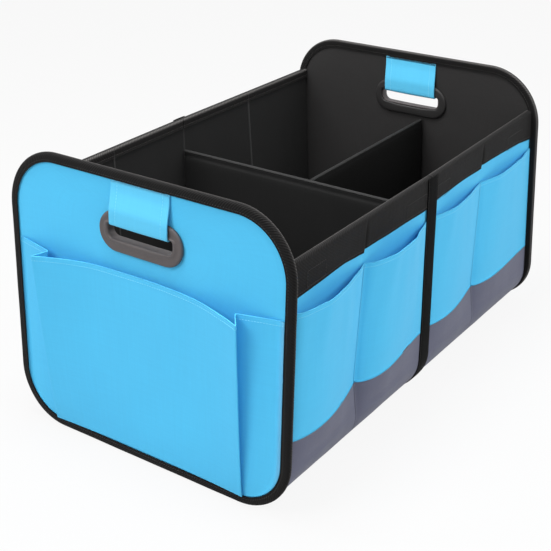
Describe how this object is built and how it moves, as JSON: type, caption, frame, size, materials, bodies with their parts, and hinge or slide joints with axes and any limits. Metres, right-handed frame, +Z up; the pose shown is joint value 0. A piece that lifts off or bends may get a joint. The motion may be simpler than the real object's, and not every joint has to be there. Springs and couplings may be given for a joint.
{
  "type": "car trunk organizer",
  "caption": "Open folding trunk organizer of cloth over boards, with rounded ends, hand holes with straps, outside pockets and inner dividers.",
  "frame": {"origin": "on the floor at the middle of the organizer, on the underside of the middle binding", "axes": "+X along the organizer, from the near end with the pleated pocket to the far end; +Z up; the four outside pockets face -Y"},
  "size_m": [0.6102, 0.391, 0.334],
  "materials": {
    "blue_cloth": "woven polyester, satin, sky blue",
    "strap_cloth": "folded woven polyester, sky blue",
    "grey_cloth": "woven polyester, blue grey",
    "black_tape": "twill binding tape, black",
    "black_lining": "woven lining, matte black",
    "grey_plastic": "moulded, warm dark grey",
    "black_plastic": "moulded, black",
    "board": "pressed fibre board inside the cloth"
  },
  "bodies": {
    "root": {"near_end_face": "blue_cloth", "far_end_face": "blue_cloth", "near_end_pocket": "blue_cloth", "front_near_cloth": "blue_cloth", "front_far_cloth": "blue_cloth", "back_near_cloth": "blue_cloth", "back_far_cloth": "blue_cloth", "front_pocket_1": "blue_cloth", "front_pocket_2": "blue_cloth", "front_pocket_3": "blue_cloth", "front_pocket_4": "blue_cloth", "near_handle_strap": "strap_cloth", "far_handle_strap": "strap_cloth", "near_base_cloth": "grey_cloth", "far_base_cloth": "grey_cloth", "front_pocket_foot_1": "grey_cloth", "front_pocket_foot_2": "grey_cloth", "front_pocket_foot_3": "grey_cloth", "front_pocket_foot_4": "grey_cloth", "near_end_binding": "black_tape", "far_end_binding": "black_tape", "front_near_band": "black_tape", "front_far_band": "black_tape", "back_near_band": "black_tape", "back_far_band": "black_tape", "middle_binding": "black_tape", "near_end_liner": "black_lining", "far_end_liner": "black_lining", "near_lining": "black_lining", "far_lining": "black_lining", "cross_divider": "black_lining", "long_divider": "black_lining", "near_base_board": "black_lining", "far_base_board": "black_lining", "near_handle_outer_ring": "grey_plastic", "far_handle_outer_ring": "grey_plastic", "near_handle_inner_ring": "black_plastic", "far_handle_inner_ring": "black_plastic", "near_end_board": "board", "far_end_board": "board", "front_board_1": "board", "front_board_2": "board", "front_board_3": "board", "front_board_4": "board", "back_board_1": "board", "back_board_2": "board", "back_board_3": "board", "back_board_4": "board"}
  },
  "joints": []
}
